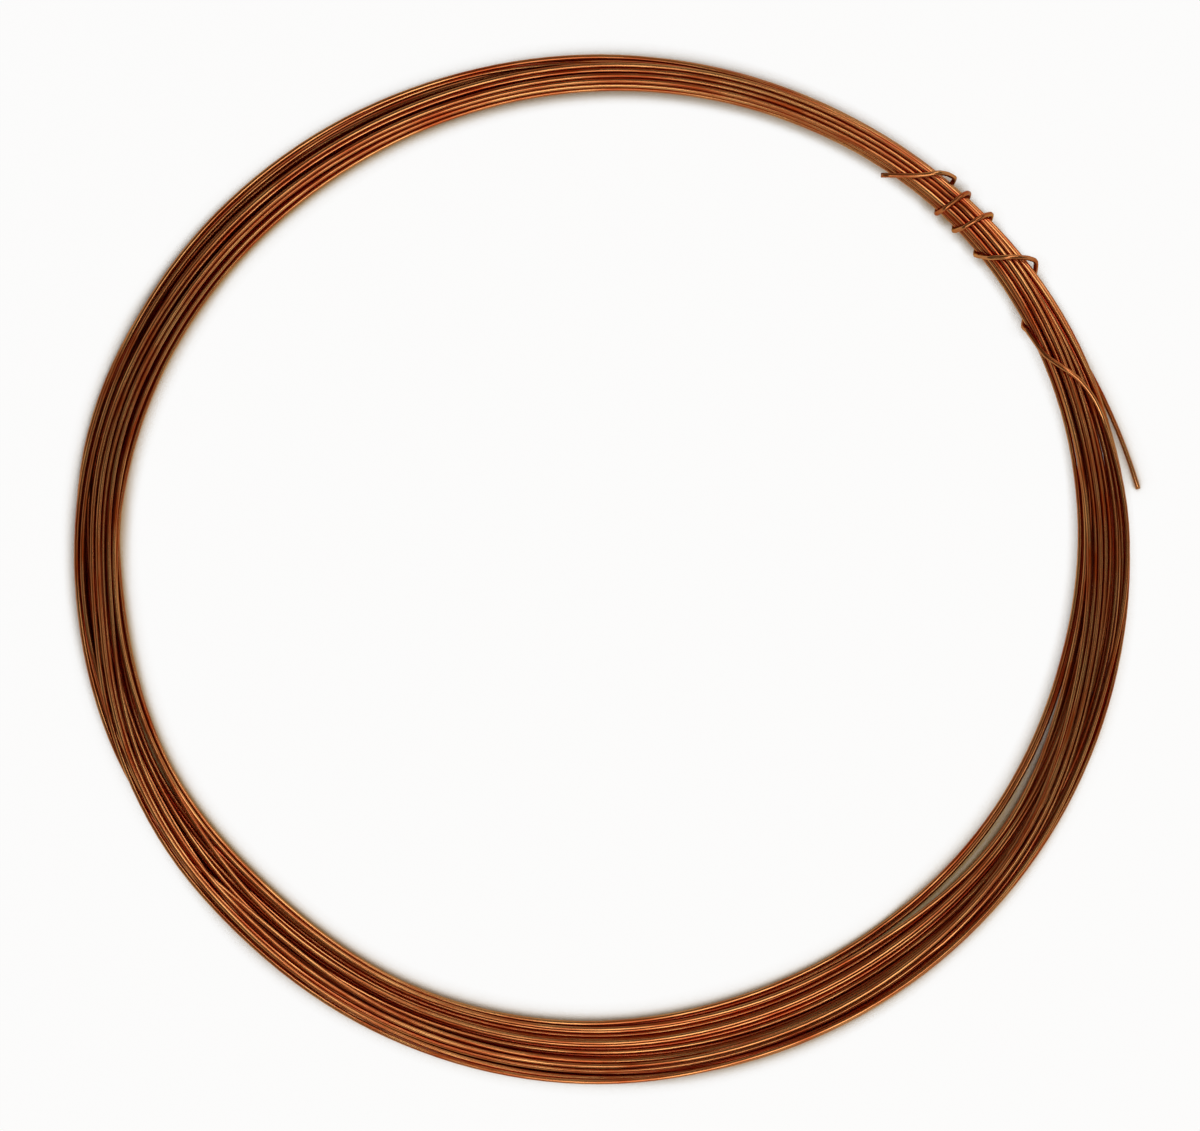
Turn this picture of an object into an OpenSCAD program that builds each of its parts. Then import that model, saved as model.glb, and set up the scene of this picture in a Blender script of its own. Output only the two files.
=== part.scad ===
// Copper wire coil: one length of bare soft copper wire, wound by hand into a ring.
// The wire starts at a free end outside the ring, runs round and round in loose turns, and its
// last stretch crosses the bundle and wraps it as a tie that holds the turns together.
//
// The whole coil is one swept wire. A turn's place across the bundle is set at eighteen stations
// round the ring, and its height follows from what it lies on: every turn is laid on the turns
// wound before it, so they rest on each other and never run into each other.

/* [Wire] */
// Diameter of the wire, 18 gauge
wire_d = 1.02; // [0.9:0.01:1.3]
// Room kept between wires that lie against each other
lay_gap = 0.03; // [0.02:0.01:0.08]

/* [Ring] */
// Mean diameter of the turns
ring_d = 206.4; // [160:0.1:260]
// Number of turns
turns = 23; // [21:1:24]
// Width of the bundle where its turns fan out most
fan_w = 14.4; // [11:0.1:18]

/* [Tie] */
// Slack of the tie at the bundle's outer edge
slack = 0.3; // [0:0.05:1]
// Extra room inside its first and its last loop
loop_off = 0.55; // [0.3:0.05:2]
// Length of the cut end that sticks out of the tie
tail_l = 7; // [3:0.1:15]

/* [Free end] */
// How far before the tie the wire starts, in degrees round the ring
start_back = 38.4; // [34:0.1:45]
// How far the free end stands out from the ring's middle line
start_out = 8.1; // [7:0.1:12]

/* [Hidden] */

sides = 6;               // flats round the swept wire
rings = 36;              // cross sections in one turn
stations = 18;           // places in one turn where the lay of the wire is set
pitch = wire_d + lay_gap;
tie_at = 46;             // where the tie sits and the stations start, in degrees round the ring

// How far the ring's middle line strays from a circle at each station.
ring_stray = [0.9, -0.6, -1.6, -2.1, -1.4, 0.2, 1.7, 1.6, 0.8,
              -0.4, -0.5, -0.6, -0.4, 0.1, 0.6, 1.1, 1.9, 1.8];

// The turns lie in rows inside the tie, like logs in a pile.
row_first = [0, 3, 8, 14, 19];               // first turn of each row
columns = [4, 5, 6, 5, 4];                   // places across the tie in each row
inwards = [true, false, true, false, false]; // rows that are wound towards the ring's centre
over_after = [17, 16, 6, 8, 8];              // station after which a row's turns move on a place

// Away from the tie each place of the lower rows has a slot of its own in the fan.
slots = [[4.2, 10.2, 14.6], [1.4, 5.4, 8, 12.4, 16.2], [0.3, 3, 6.8, 11, 15, 18], [2.2, 6, 9, 13.2, 16.6]];
last_slot = 18;
// Share of the full fan at each station, the first one inside the tie.
fan_share = [0, 0.03, 0.16, 0.26, 0.42, 0.5, 0.53, 0.53, 0.45,
             0.77, 0.75, 0.88, 1.1, 1.1, 0.95, 0.86, 0.6, 0.25];

// The top row lies over the others and wanders across them: its middle at each station, and how
// far the very last turn keeps outside it.
top_row = 4;
top_way = [0, 0, -0.35, -0.65, -0.6, -0.6, -0.5, -0.9, 1.8,
           2.1, 2.7, 3.2, 3.2, 2.9, 1.6, -0.85, -1.8, -1.1];
last_out = [0, 0, 0, 0, 0, 0, 0, -0.1, -0.1, -0.3, -0.2, 0, -0.2, 0, 0.4, 1.7, 3.1, 0.7];
top_gap = 1.05 * pitch;
own_way_from = 0.3;      // share of the fan from which the top row goes its own way in full

// Where strands part: station, the line they part at, how far, and the lowest row that does.
partings = [[2, 1.5, 1, 3], [3, 1.4, 1.8, 3], [4, 1.4, 2.2, 3], [5, 1.4, 2, 3], [6, 1.8, 1, 3],
            [7, 1.95, 0.9, 0], [8, -3.4, 1.5, 0], [14, -5.3, 2.1, 0]];

wander = 0.3;            // slow waves of the strands, in mm, full at the last turn
waves = [1.618, 2.414];  // waves in one turn, which never fall in step with the turns
start_bend = 1.7;        // how late the free start swings out, 1 being evenly

bridge = 4;              // cross sections over which a turn that climbs another comes down again
bend = 0.12;             // how fast it comes down, in mm for the square of a cross section

// Where the tie wire passes the bundle's inner and outer edge in turn, in degrees.
tie_edges = [28.4, 34.7, 39, 41.6, 42.9, 45, 45.9, 47.3, 53.2];
tie_step = 15;           // angle round the bundle between two cross sections of the tie
feel_step = 15;          // angle between the directions that feel out the bundle
leave_before = 30;       // degrees before the tie where the last turn leaves the bundle
leave_run = 60;          // angle over which it climbs out
rounding = 0.35;         // how gently it turns into and out of its first crossing
loop_at = [360, 1440];   // angles round the bundle where the tie stands off in a loop
loop_run = 90;           // angle over which such a loop leaves and rejoins the bundle
tail_from = 1545;        // angle round the bundle where the cut end starts to stick out
tail_slant = 38;         // its slant towards the ring's centre, in degrees
tail_drop = 0.12;        // its fall, as a share of its length
tie_lift = pitch + (slack + loop_off) / 2; // how high the tie carries the bundle off the floor
lift_run = 26;           // degrees over which the bundle comes down to the floor again

function mix(a, b, share) = a + (b - a) * share;
function ease(u) = let(v = min(max(u, 0), 1)) v * v * (3 - 2 * v);
function unit(v) = v / norm(v);
// A smooth curve from b to c through points of a number or a list.
function curve(a, b, c, d, u) =
    b + 0.5 * u * (c - a + u * (2 * a - 5 * b + 4 * c - d + u * (3 * (b - c) + d - a)));
// A value that is given at every station, at a place between them.
function at_station(values, n) =
    let(i = floor(n), near = [for (step = [-1:2]) values[((i + step) % stations + stations) % stations]])
    curve(near[0], near[1], near[2], near[3], n - i);

// ---- Place of a turn across the bundle ----
// Row of a turn, and its place in that row from the inner side outwards.
function row_of(turn) =
    let(row = len([for (first = row_first) if (turn >= first) first]) - 1, place = turn - row_first[row])
    [row, inwards[row] ? row_first[row + 1] - row_first[row] - 1 - place : place];

// Place in the tie, place in the full fan, and push of a parting, at a station counted from the start.
function lay_at(n) =
    let(turn = floor(n / stations), station = n - turn * stations,
        at = row_of(station > over_after[row_of(turn)[0]] ? turn + 1 : turn),
        in_tie = pitch * (at[1] - (columns[at[0]] - 1) / 2),
        share = fan_share[station],
        own = top_way[station] + top_gap * (at[1] - (columns[top_row] - 1) / 2)
            + (turn == turns - 1 ? last_out[station] : 0),
        x = at[0] < top_row
            ? mix(in_tie, (fan_w - wire_d) * (slots[at[0]][at[1]] / last_slot - 0.5), share)
            : mix(in_tie, own, min(1, share / own_way_from)))
    [in_tie, in_tie + (x - in_tie) / max(share, 0.01), push_at(station, at[0], x)];
function push_at(station, row, x) =
    max([0, for (at = partings) if (at[0] == station && x > at[1] && row >= at[3])
        at[1] + norm([x - at[1], at[2]]) - x]);
lay = [for (n = [0:turns * stations + 2]) lay_at(n)];

function turn_across(t) =
    let(n = t * stations, i = floor(n),
        at = curve(lay[max(i - 1, 0)], lay[i], lay[i + 1], lay[i + 2], n - i),
        wave = sin(360 * waves[0] * t) + sin(360 * waves[1] * t))
    at[0] + (at[1] - at[0] + wander * t / turns * wave) * max(0, at_station(fan_share, n)) + at[2];
// The free start leaves its place in the bottom row and swings out past the edge.
function start_across(t) = mix(lay[0][0], start_out, pow(-t * 360 / start_back, start_bend));

// The start counts as turn -1, and is far off where it has no wire yet.
across = [for (turn = [0:turns - 1]) [for (ring = [0:rings - 1]) turn_across(turn + ring / rings)]];
start_ring = rings - floor(start_back * rings / 360);
start_x = [for (ring = [0:rings - 1]) ring < start_ring ? ring_d : start_across(ring / rings - 1)];
function x_of(turn, ring) = turn < 0 ? start_x[ring] : across[turn][ring];
function z_of(turn, ring, heights) = turn < 0 ? floor_z(ring) : heights[turn][ring];

// ---- Height of a turn, from what it lies on ----
// The bundle is carried clear of the floor where the tie passes under it.
function lift(angle) =
    let(past = max(tie_edges[0] - angle, angle - tie_edges[7], 0)) tie_lift * ease(1 - past / lift_run);
function ring_angle(ring) = tie_at + 360 * ring / rings;
function floor_z(ring) =
    let(angle = ring_angle(ring)) wire_d / 2 + lift(angle > 180 + tie_at ? angle - 360 : angle);

function rest_on(x, under_x, under_z) =
    let(dx = abs(x - under_x)) dx < pitch - 0.0001 ? under_z + sqrt(pitch * pitch - dx * dx) : 0;
// The lower turns are felt at the cross section and halfway to the next ones, where they may cross.
function rest_z(turn, ring, heights) =
    max([floor_z(ring),
         for (under = [-1:turn - 1]) for (next = [max(ring - 1, 0):min(ring + 1, rings - 1)])
            rest_on(mix(x_of(turn, ring), x_of(turn, next), 0.5),
                    mix(x_of(under, ring), x_of(under, next), 0.5),
                    mix(z_of(under, ring, heights), z_of(under, next, heights), 0.5))]);
// A turn can't drop sharply behind what it climbs over: it bridges the gap in a soft bend.
function lay_turn(turn, heights) =
    let(low = [for (ring = [0:rings - 1]) rest_z(turn, ring, heights)])
    [for (ring = [0:rings - 1])
        max([for (i = [max(0, ring - bridge):min(rings - 1, ring + bridge)])
            low[i] - bend * pow(i - ring, 2)])];
function lay_turns(turn, heights) =
    turn == turns ? heights : lay_turns(turn + 1, concat(heights, [lay_turn(turn, heights)]));
height = lay_turns(0, []);

// ---- Route of the turns in space ----
function ring_r(angle) = ring_d / 2 + at_station(ring_stray, (angle - tie_at) / 360 * stations);
function outwards(angle) = [cos(angle), sin(angle), 0];
function in_section(angle, at) = (ring_r(angle) + at[0]) * outwards(angle) + [0, 0, at[1]];

last_ring = rings - leave_before * rings / 360;
start_route = concat(
    [in_section(tie_at - start_back, [start_out, wire_d / 2])],
    [for (ring = [start_ring:rings - 1]) in_section(ring_angle(ring), [start_x[ring], floor_z(ring)])]);
turn_route = [for (turn = [0:turns - 1]) for (ring = [0:(turn < turns - 1 ? rings - 1 : last_ring)])
    in_section(ring_angle(ring), [across[turn][ring], height[turn][ring]])];

// ---- Tie ----
// Place and height of one pass of the wire at a cross section, where those before the tie
// belong to the turn before.
function pass_at(turn, ring) =
    ring < 0 ? pass_at(turn - 1, ring + rings) : [x_of(turn, ring), z_of(turn, ring, height)];
// Where the straight stretches between two cross sections pass the angle.
function section_at(angle) =
    let(ring = floor((angle - tie_at) / 360 * rings), side = [-sin(angle), cos(angle), 0])
    [for (turn = [0:turns - 1])
        let(a = in_section(ring_angle(ring), pass_at(turn, ring)),
            b = in_section(ring_angle(ring + 1), pass_at(turn, ring + 1)),
            p = mix(a, b, a * side / (a * side - b * side)))
        [p * outwards(angle) - ring_r(angle), p[2]]];
function middle_of(section) = let(z = [for (wire = section) wire[1]]) [0, (min(z) + max(z)) / 2];

// Distance from the bundle's middle to a wire drawn taut round it, in the direction way.
function reach(section, middle, way) =
    max([for (wire = section) (wire - middle) * [cos(way), sin(way)]]) + pitch;
function taut(section, middle, way) =
    min([for (turn = [-60:feel_step:60]) reach(section, middle, way + turn) / cos(turn)]);

leave_angle = tie_at - leave_before;
leave_from = [across[turns - 1][last_ring], height[turns - 1][last_ring]]
    - middle_of(section_at(leave_angle));
leave_way = atan2(leave_from[1], leave_from[0]);

function tie_angle(way) =
    let(i = floor(way / 180), u = (way - leave_way) / (180 - leave_way))
    i < 1 ? mix(leave_angle, tie_edges[0], u + rounding * sin(360 * u) / (2 * PI))
          : mix(tie_edges[i - 1], tie_edges[i], way / 180 - i);
function stand_off(way) =
    loop_off * max([for (loop = loop_at) 1 - ease(abs(way - loop) / loop_run)])
    + slack * (1 + cos(way)) / 2;
function tie_point(way) =
    let(angle = tie_angle(way),
        section = section_at(angle),
        middle = middle_of(section),
        r = mix(norm(leave_from), taut(section, middle, way) + stand_off(way),
                ease((way - leave_way) / leave_run)))
    in_section(angle, middle + r * [cos(way), sin(way)]);
function way_out(angle, way) = cos(way) * outwards(angle) + [0, 0, sin(way)];

tie_steps = ceil((tail_from - leave_way) / tie_step);
tie_ways = [for (i = [1:tie_steps]) mix(leave_way, tail_from, i / tie_steps)];
tie_route = [for (way = tie_ways) tie_point(way)];

// The cut end sticks out straight, slanting over the bundle's inner edge.
tail_run = tie_angle(tail_from) + 90 + tail_slant;
tail_route = [for (share = [0.15, 1])
    tie_route[tie_steps - 1] + share * tail_l * [cos(tail_run), sin(tail_run), -tail_drop]];

// ---- The wire ----
route = concat(start_route, turn_route, tie_route, tail_route);
// A direction beside the wire for each cross section, which keeps the wire from twisting.
beside = concat(
    [for (p = concat(start_route, turn_route)) way_out(atan2(p[1], p[0]), leave_way)],
    [for (way = tie_ways) way_out(tie_angle(way), way)],
    [for (p = tail_route) way_out(tie_angle(tail_from), tail_from)]);

module sweep(path, beside, radius) {
    count = len(path);
    points = [for (i = [0:count - 1])
        let(along = unit(path[min(i + 1, count - 1)] - path[max(i - 1, 0)]),
            out = unit(beside[i] - (beside[i] * along) * along),
            over = cross(along, out))
        for (s = [0:sides - 1])
            path[i] + radius * (cos(360 * s / sides) * out + sin(360 * s / sides) * over)];
    skin = [for (i = [0:count - 2]) for (s = [0:sides - 1])
        let(a = i * sides + s, b = i * sides + (s + 1) % sides)
        each [[a, b + sides, b], [a, a + sides, b + sides]]];
    ends = [[for (s = [0:sides - 1]) s], [for (s = [sides - 1:-1:0]) (count - 1) * sides + s]];
    polyhedron(points, concat(skin, ends), convexity = 10);
}

module wire_coil() {
    color("#b87245") sweep(route, beside, wire_d / 2);
}

wire_coil();
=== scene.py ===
# %% [markdown]
# # A coil of bare copper wire
# The object is one piece of stock: fifteen metres of soft copper wire, about a millimetre
# thick, wound by hand into a ring. Its last stretch is wrapped round the bundle and ties it.
# The CAD model already holds the wire's route as a coarse, flat-sided solid. This notebook lays
# the same wire again with a round section and a real copper finish.

# %% Load the CAD frame
import bmesh
import bpy
import math
import numpy as np
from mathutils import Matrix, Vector


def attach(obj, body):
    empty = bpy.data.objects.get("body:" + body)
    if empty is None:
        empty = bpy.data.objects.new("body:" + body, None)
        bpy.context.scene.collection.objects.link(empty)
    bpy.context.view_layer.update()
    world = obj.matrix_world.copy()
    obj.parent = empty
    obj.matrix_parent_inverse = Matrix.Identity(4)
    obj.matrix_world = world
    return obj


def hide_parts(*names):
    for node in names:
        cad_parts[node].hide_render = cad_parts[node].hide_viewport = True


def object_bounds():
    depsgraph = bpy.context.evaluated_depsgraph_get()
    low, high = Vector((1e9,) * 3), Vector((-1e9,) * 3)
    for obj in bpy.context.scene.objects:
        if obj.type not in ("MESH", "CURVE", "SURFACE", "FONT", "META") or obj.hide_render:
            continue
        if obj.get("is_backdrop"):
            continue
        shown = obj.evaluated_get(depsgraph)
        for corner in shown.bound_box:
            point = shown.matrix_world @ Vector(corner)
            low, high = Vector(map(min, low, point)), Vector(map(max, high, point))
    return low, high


MM = 0.001                                    # one millimetre in Blender's metres
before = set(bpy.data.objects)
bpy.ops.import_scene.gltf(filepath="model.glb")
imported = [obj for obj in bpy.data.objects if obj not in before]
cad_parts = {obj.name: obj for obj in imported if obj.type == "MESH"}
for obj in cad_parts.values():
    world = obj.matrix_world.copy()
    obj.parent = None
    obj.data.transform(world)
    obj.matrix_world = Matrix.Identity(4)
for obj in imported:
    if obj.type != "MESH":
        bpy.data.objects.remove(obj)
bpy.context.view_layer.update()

# %% [markdown]
# ## Sizes
# Everything is worked out from a few sizes of the real wire and ring, in millimetres. They are
# turned into Blender's metres at the very end, when the route becomes a mesh.

# %% Sizes of the wire and the ring
WIRE_D = 1.02                                 # 18 gauge wire
LAY_GAP = 0.03                                # room between wires that lie against each other
PITCH = WIRE_D + LAY_GAP
TURNS = 23
RING_D = 206.4                                # mean diameter of the turns
FAN_W = 14.4                                  # width of the bundle where the turns fan out most
TIE_AT = 46.0                                 # where the tie sits, in degrees round the ring
print("a ring about", round(RING_D + FAN_W), "mm across,", TURNS, "turns")

# %% [markdown]
# ## Where each turn lies across the bundle
# Inside the tie the turns are squeezed into rows of three to six, like logs in a pile. Away
# from it they spread out, each row to its own slots between the others. The place of a turn is
# set at eighteen stations round the ring and runs on smoothly between them, so that one
# unbroken wire comes out. The last turns lie on top of the rest and wander across them, and
# here and there the strands part. A plain spiral would be shorter to write, but its perfect
# rings never look like wire that was wound by hand.

# %% Rows inside the tie, and slots where the bundle fans out
STATIONS = 18
ROW_FIRST = [0, 3, 8, 14, 19]                 # the first turn of each row
COLUMNS = [4, 5, 6, 5, 4]                     # places across the tie in each row
INWARDS = [True, False, True, False, False]   # rows that are wound towards the ring's centre
SLOTS = [
    [4.2, 10.2, 14.6],
    [1.4, 5.4, 8, 12.4, 16.2],
    [.3, 3, 6.8, 11, 15, 18],
    [2.2, 6, 9, 13.2, 16.6],
]
LAST_SLOT = 18
MOVE_AFTER = [17, 16, 6, 8, 8]                # station after which a row's turns move on one place
# how far the bundle has fanned out at each station, from the tie on
FAN_SHARE = [0, .03, .16, .26, .42, .50, .53, .53, .45,
             .77, .75, .88, 1.1, 1.1, .95, .86, .60, .25]
TOP_ROW = 4


def row_of(turn):
    """The row that a turn lies in at the tie, and its place in that row from the inside out."""
    row = sum(turn >= first for first in ROW_FIRST[1:])
    place = turn - ROW_FIRST[row]
    if INWARDS[row]:
        place = ROW_FIRST[row + 1] - ROW_FIRST[row] - 1 - place
    return row, place


print("turns in each row:", np.diff([*ROW_FIRST, TURNS]))

# %% The last turns, which lie over the others, and the places where strands part
# mm out from the middle line where the top row runs at each station, and how much further out
# the very last turn does
TOP_WAY = [0, 0, -.35, -.65, -.6, -.6, -.5, -.9, 1.8,
           2.1, 2.7, 3.2, 3.2, 2.9, 1.6, -.85, -1.8, -1.1]
LAST_OUT = [0, 0, 0, 0, 0, 0, 0, -.1, -.1,
            -.3, -.2, 0, -.2, 0, .4, 1.7, 3.1, .7]
TOP_GAP = 1.05 * PITCH
OWN_WAY_FROM = 0.3                            # share of the fan from which the top row is free
LEAST_SHARE = 0.01                            # so that nothing is divided by nought in the tie
# station, line that the strands part at, how far they part, the lowest row that does
PARTINGS = [
    (2, 1.5, 1.0, 3), (3, 1.4, 1.8, 3), (4, 1.4, 2.2, 3), (5, 1.4, 2.0, 3), (6, 1.8, 1.0, 3),
    (7, 1.95, .9, 0), (8, -3.4, 1.5, 0), (14, -5.3, 2.1, 0),
]
LOOK_AHEAD = 3                                # stations past the last turn, for the smooth run


def lay_at(n):
    """At station n, counted from the tie at the start: place in the tie, place in the fan, push."""
    turn = max(n // STATIONS, 0)
    station = n - turn * STATIONS
    row, place = row_of(turn + 1 if station > MOVE_AFTER[row_of(turn)[0]] else turn)
    share = FAN_SHARE[station % STATIONS]
    from_middle = place - (COLUMNS[row] - 1) / 2
    tie = PITCH * from_middle
    if row < TOP_ROW:
        fan = (FAN_W - WIRE_D) * (SLOTS[row][place] / LAST_SLOT - 0.5)
        x = tie + (fan - tie) * share
    else:
        out = LAST_OUT[station % STATIONS] if turn == TURNS - 1 else 0
        own = TOP_WAY[station % STATIONS] + TOP_GAP * from_middle + out
        x = tie + (own - tie) * min(1, share / OWN_WAY_FROM)
        fan = tie + (x - tie) / max(share, LEAST_SHARE)
    push = sum(line + math.hypot(x - line, far) - x for at, line, far, lowest in PARTINGS
               if at == station % STATIONS and x > line and row >= lowest)
    return tie, fan, push


lay = np.array([lay_at(n) for n in range(TURNS * STATIONS + LOOK_AHEAD)])
print(len(lay), "stations; the bundle is", round(np.ptp(lay[:, 1]) + WIRE_D, 1),
      "mm wide at most")

# %% Smooth run between the stations
WANDER = 0.3                                  # mm in the last turn, growing from none in the first
WAVES = (1.618, 2.414)                        # waves in a turn, never in step with the turns
AROUND_IT = (-1, 0, 1, 2)                     # the four stations that a smooth run is drawn from


def curve(a, b, c, d, u):
    """A smooth line through four even stations, at u between the second and the third."""
    return b + 0.5 * u * (c - a + u * (2 * a - 5 * b + 4 * c - d + u * (3 * (b - c) + d - a)))


def across_at(t):
    """Place across the bundle after t turns, in mm outwards of the ring's middle line."""
    n = int(t * STATIONS)
    u = t * STATIONS - n
    tie, fan, push = curve(lay[max(n - 1, 0)], lay[n], lay[n + 1], lay[n + 2], u)
    share = max(0, curve(*[FAN_SHARE[(n + step) % STATIONS] for step in AROUND_IT], u))
    wave = sum(math.sin(math.tau * w * t) for w in WAVES)
    return tie + (fan - tie + WANDER * t / TURNS * wave) * share + push


print("the fifth turn is", round(across_at(4), 2), "mm from the middle line in the tie and",
      round(across_at(4.5), 2), "mm from it opposite")

# %% [markdown]
# ## The ring
# A ring wound by hand is never quite round. How far its middle line strays from a circle is set
# at the same stations, and runs on smoothly between them.

# %% Radius of the ring
STRAY = [.9, -.6, -1.6, -2.1, -1.4, .2, 1.7, 1.6, .8,
         -.4, -.5, -.6, -.4, .1, .6, 1.1, 1.9, 1.8]


def ring_r(angle):
    """Distance of the bundle's middle line from the centre, at an angle in degrees."""
    t = (angle - TIE_AT) / 360 * STATIONS
    n = math.floor(t)
    return RING_D / 2 + curve(*[STRAY[(n + step) % STATIONS] for step in AROUND_IT], t - n)


radii = [ring_r(angle) for angle in range(360)]
print("radius from", round(min(radii), 1), "to", round(max(radii), 1), "mm")

# %% Places across the bundle all the way along the wire
RINGS = 180                                   # places in one turn where the route is worked out
DEG = 360 / RINGS
across = np.array([[across_at(turn + ring / RINGS) for ring in range(RINGS)]
                   for turn in range(TURNS)])
print("width at the tie", round(np.ptp(across[:, 0]) + WIRE_D, 2), "mm")

# %% The start of the wire, which peels off the outside
START_BACK = 38.4                             # it starts this many degrees before the tie
START_OUT = 8.1                               # and this far out from the ring's middle line
START_BEND = 1.7                              # 1 peels off evenly, more bends away at its end


def start_at(t):
    """Place across the bundle of the start, t turns after the tie, where t is below nought."""
    return lay[0][0] + (START_OUT - lay[0][0]) * (-t * 360 / START_BACK) ** START_BEND


start_x = np.array([start_at(ring / RINGS - 1) for ring in range(RINGS)])
start_ring = math.ceil(RINGS - START_BACK / DEG)
print("the start joins the first turn", round(START_OUT - lay[0][0], 1), "mm further in")

# %% [markdown]
# ## How high each turn lies
# Each turn is laid on the ones before it. Where it crosses a lower strand it lies on that
# strand's back, and where it passes beside one it sinks into the groove. The wire is stiff, so
# it can't drop sharply after a hump: every height also lifts its neighbours along a shallow
# curve.

# %% Height of the lowest strand, which the tie lifts off the floor
# degrees round the ring where the tie turns over the inner edge, the outer edge, and so on
TIE_EDGES = [28.4, 34.7, 39, 41.6, 42.9, 45, 45.9, 47.3, 53.2]
LAST_UNDER = 7                                # the edge where it comes up for the last time
SLACK = 0.3                                   # room that the tie leaves at the outer edge
LOOP_OFF = 0.55                               # how far its first and last winding stand off
LIFT = PITCH + (SLACK + LOOP_OFF) / 2         # how high it holds the bundle
LIFT_RUN = 26.0                               # degrees over which the bundle comes down again


def ease(u):
    """Nought to one with a soft start and a soft stop."""
    v = min(max(u, 0), 1)
    return v * v * (3 - 2 * v)


def floor_at(ring):
    """Height of the lowest strand's middle: the tie passes under it and lifts it."""
    angle = (TIE_AT + DEG * ring + 180) % 360 - 180
    if angle < TIE_AT - 180:
        angle += 360
    past = max(TIE_EDGES[0] - angle, angle - TIE_EDGES[LAST_UNDER], 0)
    return WIRE_D / 2 + LIFT * ease(1 - past / LIFT_RUN)


floor_z = np.array([floor_at(ring) for ring in range(RINGS)])
print("the tie lifts the bundle by", round(floor_z.max() - floor_z.min(), 2), "mm")

# %% Lay the turns one on another
STIFF_RUN = 40.0                              # degrees over which one turn lifts itself
STIFF_DROP = 0.0012                           # how fast it comes down, mm for a degree squared
TOUCH = 0.0001                                # mm under PITCH that still counts as side by side


def rest_on(x, under_x, under_z):
    """Height at which a strand at x lies on one below, or nought where it passes beside it."""
    off = np.abs(x - under_x)
    on_it = under_z + np.sqrt(np.maximum(PITCH**2 - off**2, 0))
    return np.where(off < PITCH - TOUCH, on_it, 0)


height = np.zeros_like(across)
steps = np.arange(-int(STIFF_RUN / DEG), int(STIFF_RUN / DEG) + 1)
for turn in range(TURNS):
    low = floor_z.copy()
    low[start_ring:] = np.maximum(low, rest_on(across[turn], start_x, floor_z))[start_ring:]
    for under in range(turn):
        low = np.maximum(low, rest_on(across[turn], across[under], height[under]))
    for ring in range(RINGS):
        near = ring + steps
        near = near[(near >= 0) & (near < RINGS)]
        height[turn, ring] = (low[near] - STIFF_DROP * ((near - ring) * DEG) ** 2).max()
print("the bundle stands", round(height[:, 0].max() + WIRE_D / 2, 2), "mm high in the tie and",
      round(height.max() + WIRE_D / 2, 2), "mm at most")

# %% The turns in space
LEAVE_AT = 16.0                               # where the last turn leaves the bundle for the tie


def in_section(angle, x, z):
    """A point in space from its angle round the ring and its place across and above the floor."""
    a = math.radians(angle)
    r = ring_r(angle) + x
    return np.array([r * math.cos(a), r * math.sin(a), z])


last_ring = RINGS - int((TIE_AT - LEAVE_AT) / DEG)
route = [in_section(TIE_AT - START_BACK, START_OUT, WIRE_D / 2)]
for ring in range(start_ring, RINGS):
    route.append(in_section(TIE_AT + DEG * ring, start_x[ring], floor_z[ring]))
for turn in range(TURNS):
    for ring in range(RINGS if turn < TURNS - 1 else last_ring + 1):
        route.append(in_section(TIE_AT + DEG * ring, across[turn][ring], height[turn][ring]))
print(len(route), "points in the turns")

# %% [markdown]
# ## The tie
# The wire's own end holds the ring together. It leaves the top of the bundle, crosses to the
# inner edge, and winds round four times with the pull of a hand. The first and the last winding
# stand off a little at the outer edge, because stiff wire won't lie close where it turns
# slantwise.

# %% Cross-section of the bundle at any angle


def pass_at(turn, ring):
    """Place in the section of one pass of the wire; before the tie it is the turn before."""
    if ring >= 0:
        return np.array([across[turn][ring], height[turn][ring]])
    if turn == 0:
        return np.array([start_x[ring + RINGS], floor_z[ring + RINGS]])
    return np.array([across[turn - 1][ring + RINGS], height[turn - 1][ring + RINGS]])


def section_at(angle):
    """Places of all passes in the cross-section of the bundle at an angle."""
    place = (angle - TIE_AT) / DEG
    ring = math.floor(place)
    share = place - ring
    return np.array([pass_at(turn, ring) * (1 - share) + pass_at(turn, ring + 1) * share
                     for turn in range(TURNS)])


def middle_of(section):
    """The point that the tie winds round."""
    return np.array([0, (section[:, 1].min() + section[:, 1].max()) / 2])


print("the tie winds round", np.round(np.ptp(section_at(TIE_AT), axis=0) + WIRE_D, 2), "mm")

# %% A wire pulled tight round the bundle
PULL_STEP = 15                                # degrees between the sides that may hold it off
PULL_REACH = 0.5                              # cosine of the turn to the furthest that can


def unit(way):
    """Arrow in the section that points this many degrees round from outwards."""
    return np.array([math.cos(math.radians(way)), math.sin(math.radians(way))])


def taut(section, middle, way):
    """Distance from the middle to a wire that is pulled tight round the section."""
    turned = [(side, math.cos(math.radians(side - way))) for side in range(0, 360, PULL_STEP)]
    return min((((section - middle) @ unit(side)).max() + PITCH) / cosine
               for side, cosine in turned if cosine > PULL_REACH)


at_tie = section_at(TIE_AT)
print("pulled tight it passes", round(taut(at_tie, middle_of(at_tie), 0), 2),
      "mm outside the middle line")

# %% Wind the end round it
LOOPS = (360, 1440)                           # ways round the bundle where a winding stands off
LOOP_RUN = 90                                 # degrees in which it leaves the bundle, or returns
ROUNDING = 0.35                               # how gently it turns into and out of the crossing
SETTLE = 60                                   # degrees in which the leaving wire pulls tight
TIE_STEP = 7.5                                # degrees round the bundle from point to point
TAIL_FROM = 1545                              # the end sticks out straight from here

leave_angle = TIE_AT + DEG * last_ring - 360
leave_from = pass_at(TURNS - 1, last_ring) - middle_of(section_at(leave_angle))
leave_way = math.degrees(math.atan2(leave_from[1], leave_from[0]))


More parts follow.
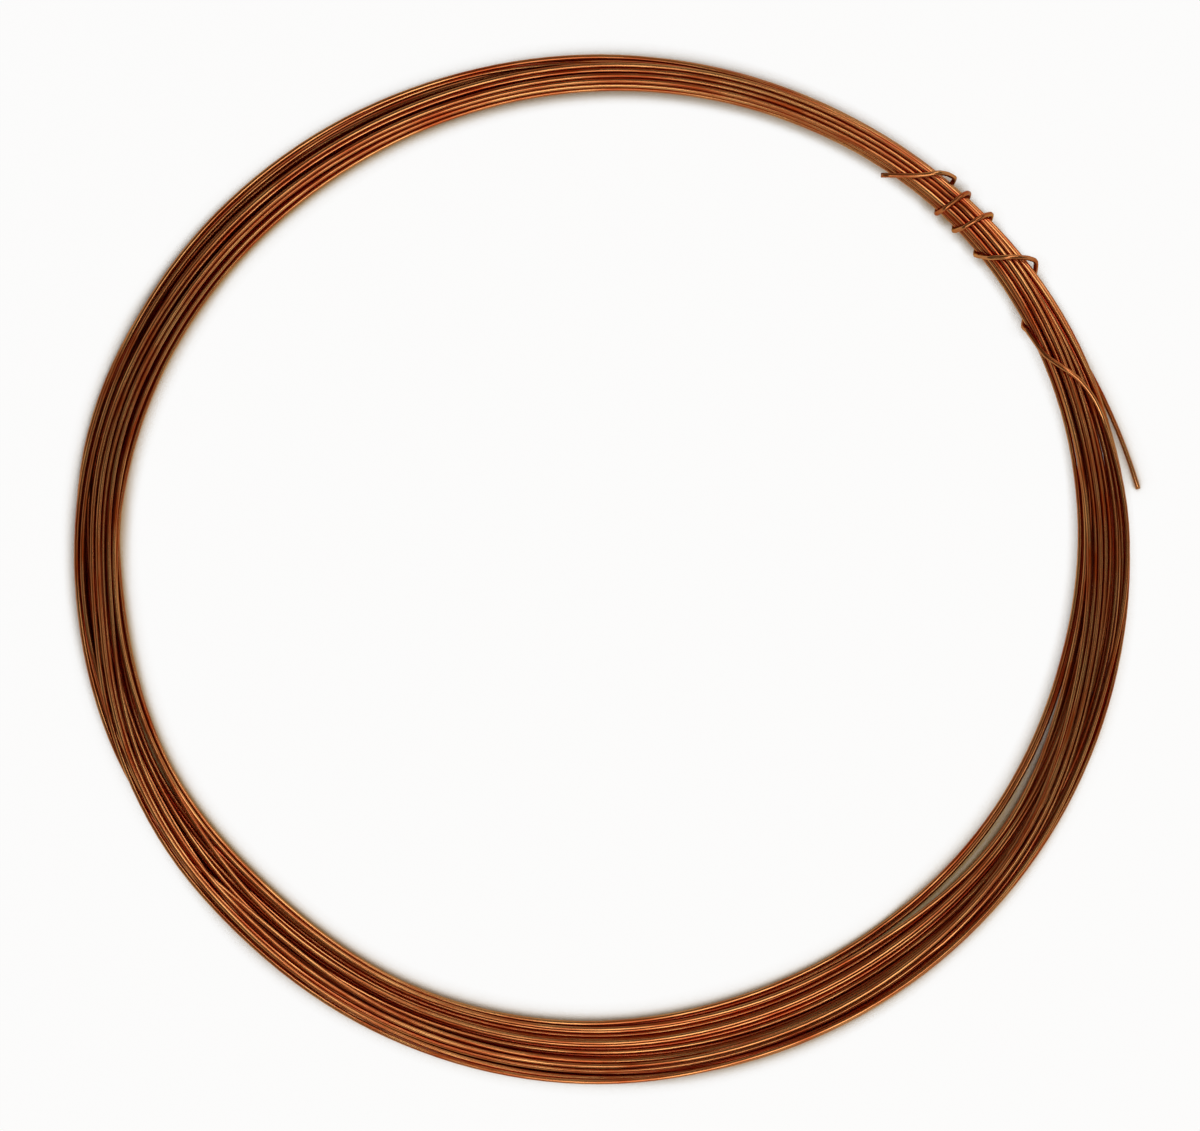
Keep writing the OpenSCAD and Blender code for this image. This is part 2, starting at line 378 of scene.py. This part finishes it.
def tie_angle(way):
    """Where round the ring the tie is, when it has gone this many degrees round the bundle."""
    half = math.floor(way / 180)
    if half < 1:
        u = (way - leave_way) / (180 - leave_way)
        gentle = u + ROUNDING * math.sin(math.tau * u) / math.tau
        return leave_angle + (TIE_EDGES[0] - leave_angle) * gentle
    before, after = TIE_EDGES[half - 1:half + 1]
    return before + (after - before) * (way / 180 - half)


def stand_off(way):
    """How far the tie stands off the bundle."""
    loop = max(1 - ease(abs(way - at) / LOOP_RUN) for at in LOOPS)
    outer = (1 + math.cos(math.radians(way))) / 2
    return LOOP_OFF * loop + SLACK * outer


first_way = math.ceil(leave_way / TIE_STEP) * TIE_STEP
for way in np.arange(first_way, TAIL_FROM + TIE_STEP / 2, TIE_STEP):
    section = section_at(tie_angle(way))
    middle = middle_of(section)
    tight = taut(section, middle, way) + stand_off(way)
    share = ease((way - leave_way) / SETTLE)
    r = np.hypot(*leave_from) * (1 - share) + tight * share
    x, z = middle + r * unit(way)
    route.append(in_section(tie_angle(way), x, z))
print(len(route), "points; the tie leaves the bundle", round(leave_way), "degrees up from outwards")

# %% The cut end of the tie
TAIL_L = 7.0                                  # mm that stick out
TAIL_SLANT = 38.0                             # degrees that it points inwards of the ring's run
TAIL_DROP = 0.12                              # mm that it comes down in each mm

run = math.radians(tie_angle(TAIL_FROM) + 90 + TAIL_SLANT)
tail = np.array([math.cos(run), math.sin(run), -TAIL_DROP]) * TAIL_L
route += [route[-1] + tail * share for share in (0.25, 0.5, 0.75, 1)]
route = np.array(route)
wire_length = np.linalg.norm(np.diff(route, axis=0), axis=1).sum()
print(len(route), "points in all; lowest", round(route[:, 2].min() - WIRE_D / 2, 2),
      "mm; the wire is", round(wire_length * MM, 2), "m long")

# %% [markdown]
# ## The wire itself
# The real wire was pulled through a round die, so its section is one circle from end to end. A
# circle swept along the route says just that. It could be skinned ring by ring in bmesh, but
# Blender's curve object already does this sweep, and turns the section as little as it can from
# point to point, so that the skin doesn't twist. The curve becomes a mesh at once, because the
# finish needs a value at each of its points.

# %% The wire as a curve with a round section
SIDES_STEP = 4                                # Blender's bevel makes 2 x (4 + 2) sides of this
curve_data = bpy.data.curves.new("wire_route", "CURVE")
curve_data.dimensions = "3D"
spline = curve_data.splines.new("POLY")
spline.points.add(len(route) - 1)
spline.points.foreach_set("co", np.column_stack([route * MM, np.ones(len(route))]).ravel())
curve_data.bevel_depth = WIRE_D / 2 * MM
curve_data.bevel_resolution = SIDES_STEP
curve_data.use_fill_caps = True
curve_object = bpy.data.objects.new("wire_route", curve_data)
bpy.context.collection.objects.link(curve_object)
bpy.context.view_layer.update()
swept = curve_object.evaluated_get(bpy.context.evaluated_depsgraph_get())
mesh = bpy.data.meshes.new_from_object(swept)
bpy.data.objects.remove(curve_object)
wire = bpy.data.objects.new("copper_wire", mesh)
bpy.context.collection.objects.link(wire)
mesh.shade_smooth()
mesh.uv_layers.remove(mesh.uv_layers[0])
print("wire mesh:", len(mesh.vertices), "points,",
      sum(len(face.vertices) - 2 for face in mesh.polygons), "triangles")

# %% [markdown]
# ## Where the finish runs
# The marks of the die run along the wire, however the wire is bent. So every point of the skin
# also carries its place on the straight wire, as it was before it was wound, and the patterns
# are drawn there. A pattern in the coil's own space would cut across the strands instead.

# %% Place of every point on the straight wire
sides = len(mesh.vertices) // (len(route) + 2)          # each end cap has points of its own
along = np.concatenate([[0], np.cumsum(np.linalg.norm(np.diff(route, axis=0), axis=1))])
around = np.arange(sides) * math.tau / sides
straight = np.stack([
    np.repeat(along, sides),
    np.tile(np.cos(around), len(route)) * WIRE_D / 2,
    np.tile(np.sin(around), len(route)) * WIRE_D / 2,
], axis=1)
# the mesh starts with the two end caps, the last one first
straight = np.concatenate([straight[-sides:], straight[:sides], straight])
attribute = mesh.attributes.new("straight", "FLOAT_VECTOR", "POINT")
attribute.data.foreach_set("vector", (straight * MM).ravel())
print(sides, "points round the wire,", round(along[-1] * MM, 2), "m of it")

# %% Close the cut ends
WELD = 0.001                                  # mm; the caps' points lie on those of the wire
bm = bmesh.new()
bm.from_mesh(mesh)
bmesh.ops.remove_doubles(bm, verts=bm.verts, dist=WELD * MM)
print("open edges left:", sum(edge.is_boundary for edge in bm.edges), "; volume",
      round(bm.calc_volume(signed=True) / MM**3), "cubic mm")
bm.to_mesh(mesh)
bm.free()

# %% [markdown]
# ## Bare copper
# Soft copper wire leaves the die smooth and bright, with faint lines along it and a thin dried
# film of drawing soap. In the air it goes from salmon to brown in slow patches, and hands rub
# it bright again where they reach. Between the strands a deep red is painted in as shade, for the
# darker, redder light that bounces from strand to strand. A metal shows only its reflections,
# tinted by its own colour, so one Principled shader at full metallic does it, with these changes
# mixed into its colour and its roughness. Apart from that painted shade, paint with a fixed light
# and shade would look the same from every side, which metal never does.


# %% Helpers for materials
def linear(hex_colour):
    """A colour written as sRGB hex, as the linear values that a shader takes."""
    parts = [int(hex_colour[i:i + 2], 16) / 255 for i in (1, 3, 5)]
    return [*[p / 12.92 if p <= 0.04045 else ((p + 0.055) / 1.055) ** 2.4 for p in parts], 1.0]


def add_node(tree, kind, links=None, **settings):
    """Add a node; links holds a value or another node's output for each of its inputs."""
    made = tree.nodes.new(kind)
    for name, value in settings.items():
        setattr(made, name, value)
    for name, value in (links or {}).items():
        if isinstance(value, bpy.types.NodeSocket):
            tree.links.new(value, made.inputs[name])
        else:
            made.inputs[name].default_value = value
    return made


# %% Draw lines along the wire
DRAW_L, DRAW_W = 60.0, 0.4                    # mm; real ones are ten times finer and can't show
DRAW_DEPTH = 0.08                             # share of dulling that a line adds or takes away
LINES_FROM, LINES_TO = 0.3, 0.7               # noise that gives the brightest and dullest line
copper = bpy.data.materials.new("bare_drawn_copper")
copper.use_nodes = True
tree = copper.node_tree
place = add_node(tree, "ShaderNodeAttribute", attribute_name="straight").outputs["Vector"]
draw_place = add_node(tree, "ShaderNodeMapping", {
    "Vector": place, "Scale": (1 / (DRAW_L * MM), 1 / (DRAW_W * MM), 1 / (DRAW_W * MM))})
draw_lines = add_node(tree, "ShaderNodeTexNoise", {
    "Vector": draw_place.outputs["Vector"], "Scale": 1.0, "Detail": 1.0, "Roughness": 0.6})
lined = add_node(tree, "ShaderNodeMapRange", {
    "Value": draw_lines.outputs["Fac"], "From Min": LINES_FROM, "From Max": LINES_TO,
    "To Min": -DRAW_DEPTH, "To Max": DRAW_DEPTH})
print("draw lines", DRAW_W, "mm apart and", DRAW_L, "mm long")

# %% Patches of tarnish
PATCH_L, PATCH_W = 14.0, 1.6                  # mm along and round the wire
BARE_UP_TO, BROWN_FROM = 0.38, 0.68           # noise of the brightest and the brownest places
patch_place = add_node(tree, "ShaderNodeMapping", {
    "Vector": place, "Scale": (1 / (PATCH_L * MM), 1 / (PATCH_W * MM), 1 / (PATCH_W * MM))})
patches = add_node(tree, "ShaderNodeTexNoise", {
    "Vector": patch_place.outputs["Vector"], "Scale": 1.0, "Detail": 2.0, "Roughness": 0.6})
tarnish = add_node(tree, "ShaderNodeMapRange", {
    "Value": patches.outputs["Fac"], "From Min": BARE_UP_TO, "From Max": BROWN_FROM})
dulled = add_node(tree, "ShaderNodeMath", {
    0: tarnish.outputs["Result"], 1: lined.outputs["Result"]}, operation="ADD", use_clamp=True)
print("patches", PATCH_L, "mm long")

# %% Painted shade in the grooves between the strands
GROOVE = 1.6                                  # mm from a groove's bottom to where it is open
RED_FROM, RED_FULL = 0.75, 0.15               # share of open sky where the red starts and is full
# painted shade: where the other strands hide the open sky, the colour turns deep red
hidden = add_node(tree, "ShaderNodeAmbientOcclusion", {"Distance": GROOVE * MM}, samples=4)
grooves = add_node(tree, "ShaderNodeMapRange", {
    "Value": hidden.outputs["AO"], "From Min": RED_FROM, "From Max": RED_FULL})
print("grooves redden within", GROOVE, "mm of another strand")

# %% Copper put together
SALMON = "#B67C47"                            # rubbed bright
BROWN = "#963C0E"                             # tarnished
# painted shade: the deep red that stands for the dim light deep in a groove
PAINTED_GROOVE_SHADE = "#BE2C0A"                             # deep in a groove
RIM = "#D9B48C"                               # copper stays warm where the eye grazes it
BRIGHT_ROUGH, DULL_ROUGH = 0.23, 0.32
SOAP, SOAP_ROUGH = 0.2, 0.12                  # how much of the film there is, and how rough
skin = add_node(tree, "ShaderNodeMix", {
    "Factor": dulled.outputs["Value"], "A": linear(SALMON), "B": linear(BROWN)},
    data_type="RGBA")
# the painted red shade goes into the colour in the grooves
colour = add_node(tree, "ShaderNodeMix", {
    "Factor": grooves.outputs["Result"], "A": skin.outputs["Result"], "B": linear(PAINTED_GROOVE_SHADE)},
    data_type="RGBA")
gloss = add_node(tree, "ShaderNodeMapRange", {
    "Value": dulled.outputs["Value"], "To Min": BRIGHT_ROUGH, "To Max": DULL_ROUGH})
shader = tree.nodes["Principled BSDF"]
tree.links.new(colour.outputs["Result"], shader.inputs["Base Color"])
tree.links.new(gloss.outputs["Result"], shader.inputs["Roughness"])
shader.inputs["Metallic"].default_value = 1.0
shader.inputs["Specular Tint"].default_value = linear(RIM)
shader.inputs["Coat Weight"].default_value = SOAP
shader.inputs["Coat Roughness"].default_value = SOAP_ROUGH
mesh.materials.clear()
mesh.materials.append(copper)
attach(wire, "root")
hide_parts("wire_coil")
print("material", copper.name, "with", len(tree.nodes), "nodes")

# %% [markdown]
# ## A pale board under the coil
# The coil lies flat on a pale birch board, whose rim is bent up all round like a studio sweep,
# so that no view looks past it. To the eye and in the copper the board is white, but more light
# on it would also burn out the coil. So the board glows for camera, glossy and transmission
# rays alone, just short of a strength of one, which is white. Close to the strands, where they
# hide the open sky, the glow gives way to the lit board, and this leaves its warm tone and a
# soft shadow.

# %% The board
BOARD_W = 3.0                                 # m, past the edges of every view
BOARD_DROP = 0.0002                           # m, so that it never cuts the lowest strand
SWEEP_H, SWEEP_R = 0.42, 0.3                  # m that its rim stands up, and the bend's radius
BOARD_SIDES, BEND_STEPS = 64, 12
bm = bmesh.new()
bmesh.ops.create_circle(bm, cap_ends=True, segments=BOARD_SIDES, radius=BOARD_W / 2)
bmesh.ops.translate(bm, verts=bm.verts, vec=(0, 0, -BOARD_DROP))
bend = [edge for edge in bm.edges if edge.is_boundary]
wall = bmesh.ops.extrude_edge_only(bm, edges=bend)["geom"]
rim = [part for part in wall if isinstance(part, bmesh.types.BMVert)]
bmesh.ops.translate(bm, verts=rim, vec=(0, 0, SWEEP_H))
bend = [edge for edge in bend if edge.is_valid]
bmesh.ops.bevel(bm, geom=bend, offset=SWEEP_R, segments=BEND_STEPS, profile=0.5,
                affect="EDGES", material=-1)
board_mesh = bpy.data.meshes.new("board")
bm.to_mesh(board_mesh)
bm.free()
board = bpy.data.objects.new("board", board_mesh)
bpy.context.collection.objects.link(board)
board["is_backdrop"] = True
print("board", BOARD_W, "m wide, with", len(board_mesh.polygons), "faces")

# %% Birch
BIRCH = "#BB9C66"                             # pale and warm, barely glossy when it is sanded
birch = bpy.data.materials.new("birch_board")
birch.use_nodes = True
tree = birch.node_tree
wood = tree.nodes["Principled BSDF"]
wood.inputs["Base Color"].default_value = linear(BIRCH)
wood.inputs["Roughness"].default_value = 0.9
wood.inputs["Specular IOR Level"].default_value = 0.1
print("material", birch.name)

# %% The rays and the places where it looks white
GLOW = 0.96                                   # share of the glow on the open board
SHADE_REACH = 4.0                             # mm from a strand to where its shade ends
SHADE_FULL, SHADE_GONE = 0.55, 0.9            # share of open sky in full shade and out of it
WHITE = (1, 1, 1, 1)
rays = add_node(tree, "ShaderNodeLightPath")
seen = add_node(tree, "ShaderNodeMath", {
    0: rays.outputs["Is Camera Ray"], 1: rays.outputs["Is Glossy Ray"]}, operation="MAXIMUM")
seen = add_node(tree, "ShaderNodeMath", {
    0: seen.outputs["Value"], 1: rays.outputs["Is Transmission Ray"]}, operation="MAXIMUM")
sky = add_node(tree, "ShaderNodeAmbientOcclusion", {"Distance": SHADE_REACH * MM}, samples=6)
sky = add_node(tree, "ShaderNodeMapRange", {
    "Value": sky.outputs["AO"], "From Min": SHADE_FULL, "From Max": SHADE_GONE},
    interpolation_type="SMOOTHSTEP")
share = add_node(tree, "ShaderNodeMath", {0: seen.outputs["Value"], 1: GLOW},
                 operation="MULTIPLY")
share = add_node(tree, "ShaderNodeMath", {
    0: share.outputs["Value"], 1: sky.outputs["Result"]}, operation="MULTIPLY")
glow = add_node(tree, "ShaderNodeEmission", {"Color": WHITE, "Strength": 1.0})
mixed = add_node(tree, "ShaderNodeMixShader", {
    0: share.outputs["Value"], 1: wood.outputs["BSDF"], 2: glow.outputs["Emission"]})
tree.links.new(mixed.outputs["Shader"], tree.nodes["Material Output"].inputs["Surface"])
board_mesh.materials.append(birch)
board_mesh.shade_smooth()
print("shade out to", SHADE_REACH, "mm")

# %% [markdown]
# ## Soft light
# Bright wire is hard to light: it mirrors the whole room, squeezed into a thin line on each
# strand. Small lamps would leave threads of glare, so two wide softboxes stand high over the
# coil, and each strand gets one soft line near its back. A lamp draws its line where the ring
# runs across its direction, on the near side and the far side alike, so two of them serve the
# whole ring. A dim white world keeps the rest from going black.

# %% World
WORLD = 0.15                                  # strength
world = bpy.data.worlds.new("studio")
bpy.context.scene.world = world
world.use_nodes = True
backdrop = world.node_tree.nodes["Background"]
backdrop.inputs["Color"].default_value = WHITE
backdrop.inputs["Strength"].default_value = WORLD
print("world at", WORLD)

# %% Softboxes
LAMP_AWAY = 0.8                               # m from the middle of the coil
# degrees round from +X, degrees down from straight above, width and length in m, and how bright
# its face is, where a white world of strength one counts as one
LAMPS = {
    "key": (45, 36, 0.30, 0.62, 3.4),
    "fill": (285, 34, 0.45, 0.58, 3.5),
}
for name, (azimuth, zenith, width, length, brightness) in LAMPS.items():
    lamp = bpy.data.lights.new(name, "AREA")
    lamp.shape = "RECTANGLE"
    lamp.size, lamp.size_y = width, length
    lamp.energy = brightness * math.pi * width * length      # watts
    softbox = bpy.data.objects.new(name, lamp)
    bpy.context.collection.objects.link(softbox)
    a, z = math.radians(azimuth), math.radians(zenith)
    way_up = Vector((math.sin(z) * math.cos(a), math.sin(z) * math.sin(a), math.cos(z)))
    softbox.location = LAMP_AWAY * way_up
    softbox.rotation_mode = "QUATERNION"
    softbox.rotation_quaternion = (-softbox.location).to_track_quat("-Z", "Y")
    print(name, "softbox:", round(lamp.energy, 2), "W")

# %% [markdown]
# ## Camera
# The camera looks straight down, from far enough that the ring stays a ring. A long lens keeps
# the sides of the strands out of sight.

# %% Camera straight above
VIEW_W = 249.8                                # mm across the view, at the strands
LENS, SENSOR = 120.0, 36.0                    # mm
STRANDS_Z = 3.0                               # mm, where the view is exactly VIEW_W wide
VIEW_AT = (-0.12, -1.08)                      # mm, what the middle of the view looks at
VIEW_END = 10.0                               # m that the camera sees
bpy.context.scene.view_settings.view_transform = "Standard"
camera_data = bpy.data.cameras.new("camera")
camera_data.lens = LENS
camera_data.sensor_width = SENSOR
camera_data.clip_end = VIEW_END
camera = bpy.data.objects.new("camera", camera_data)
bpy.context.collection.objects.link(camera)
camera.location = Vector((*VIEW_AT, VIEW_W * LENS / SENSOR + STRANDS_Z)) * MM
bpy.context.scene.camera = camera
print("camera", round(camera.location.z, 2), "m above the board")

# %% [markdown]
# ## Size of the dressed wire
# The dressed wire must fill the box of the CAD solid, so its box goes on record.

low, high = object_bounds()
print("visual box in mm:", [round(v / MM, 1) for v in (*low, *high)])
